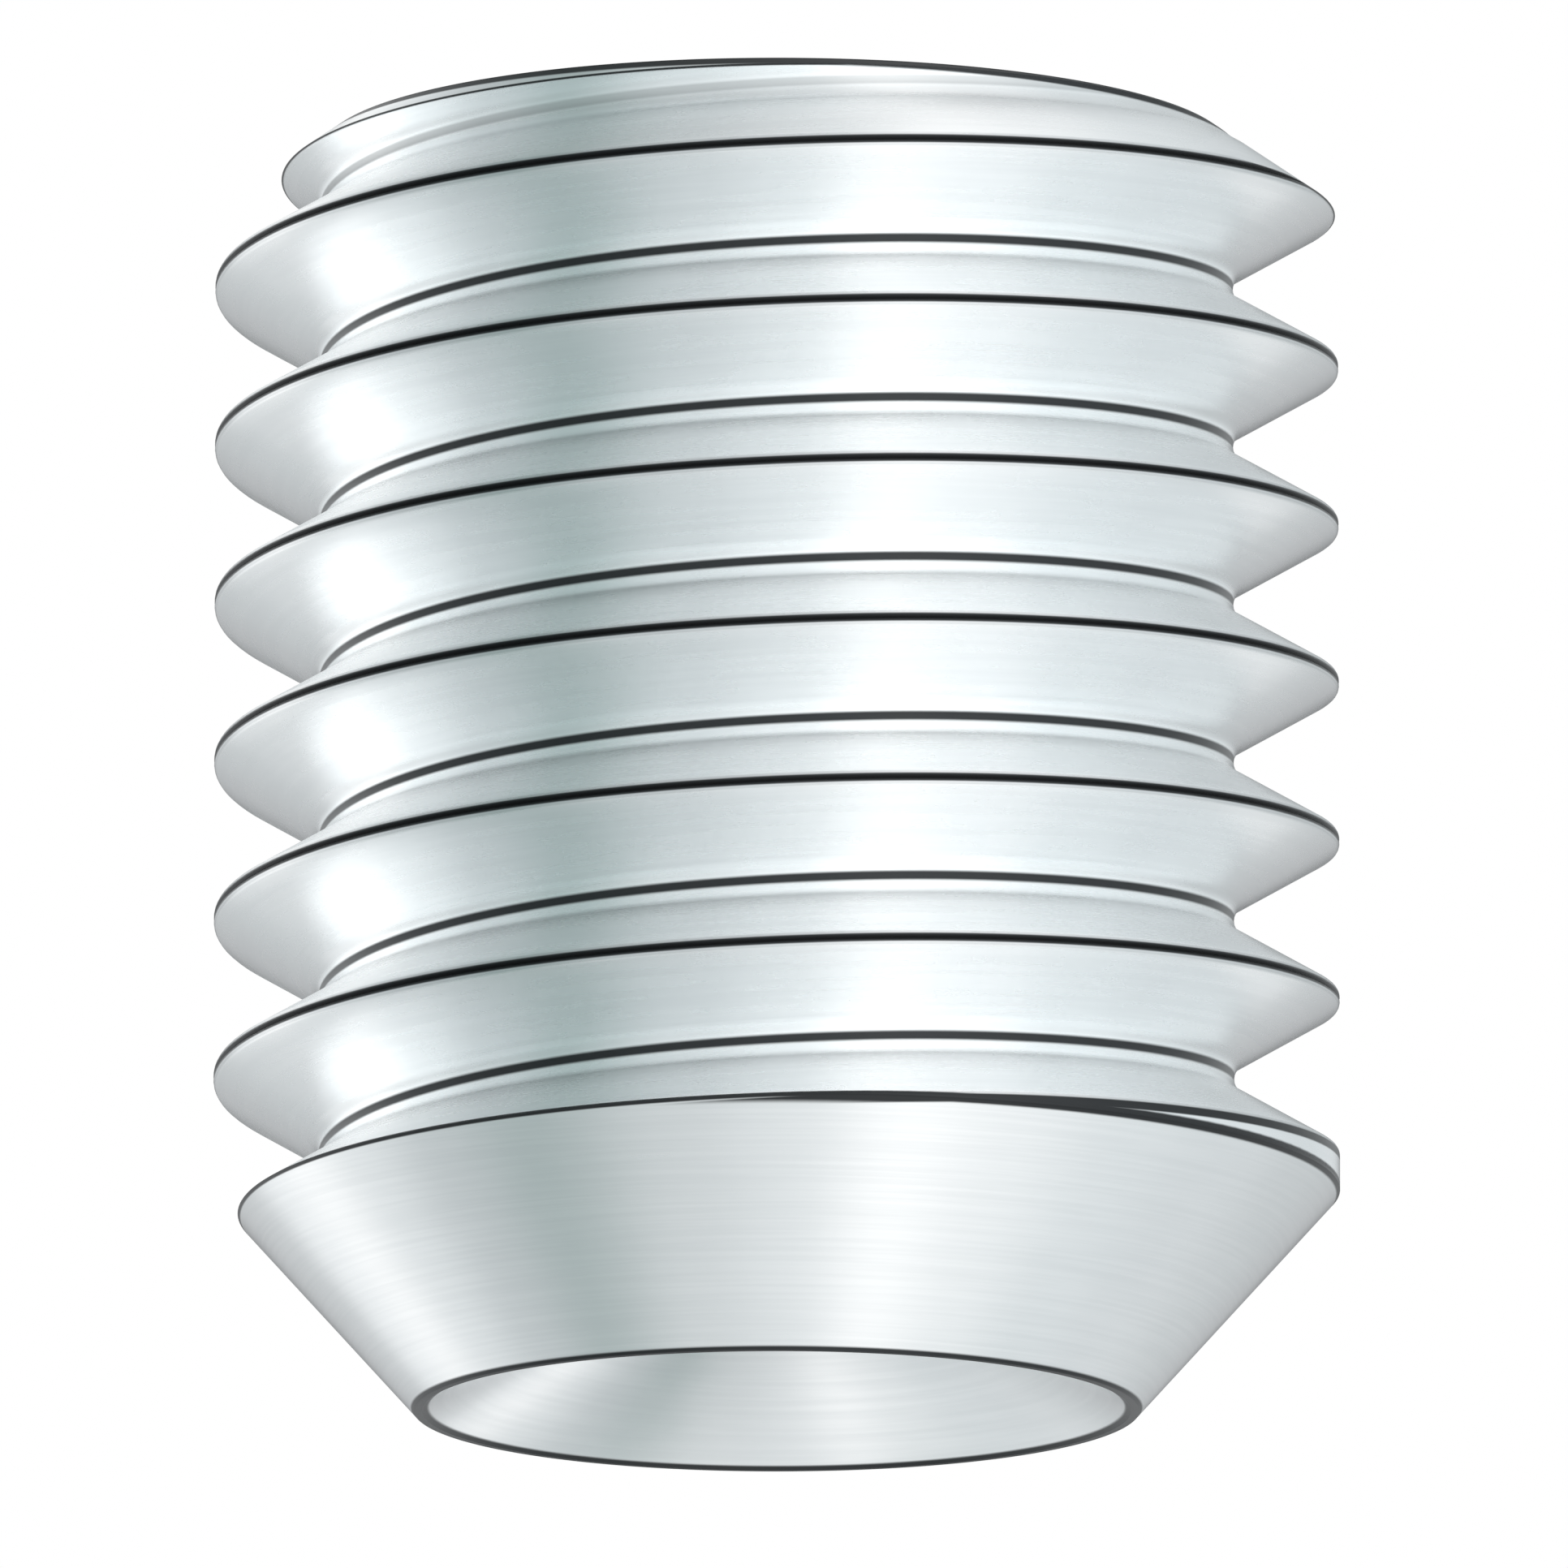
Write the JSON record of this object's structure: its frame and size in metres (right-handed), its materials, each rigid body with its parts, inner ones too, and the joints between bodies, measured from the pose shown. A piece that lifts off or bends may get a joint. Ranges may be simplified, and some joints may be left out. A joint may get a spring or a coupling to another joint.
{
  "type": "grub screw",
  "caption": "Headless cup point set screw with a right-hand metric thread and a hexagon socket, in bright zinc-plated steel.",
  "frame": {"origin": "centre of the cup point's rim, which the screw stands on", "axes": "+Z along the screw's axis towards the driven end with the hexagon socket; -Y towards the viewer of the picture"},
  "size_m": [0.014, 0.014, 0.016],
  "materials": {
    "zinc_steel": "bright zinc plate over rolled and turned steel, satin, with a cool blue-grey tint"
  },
  "bodies": {
    "root": {"set_screw": "zinc_steel"}
  },
  "joints": []
}
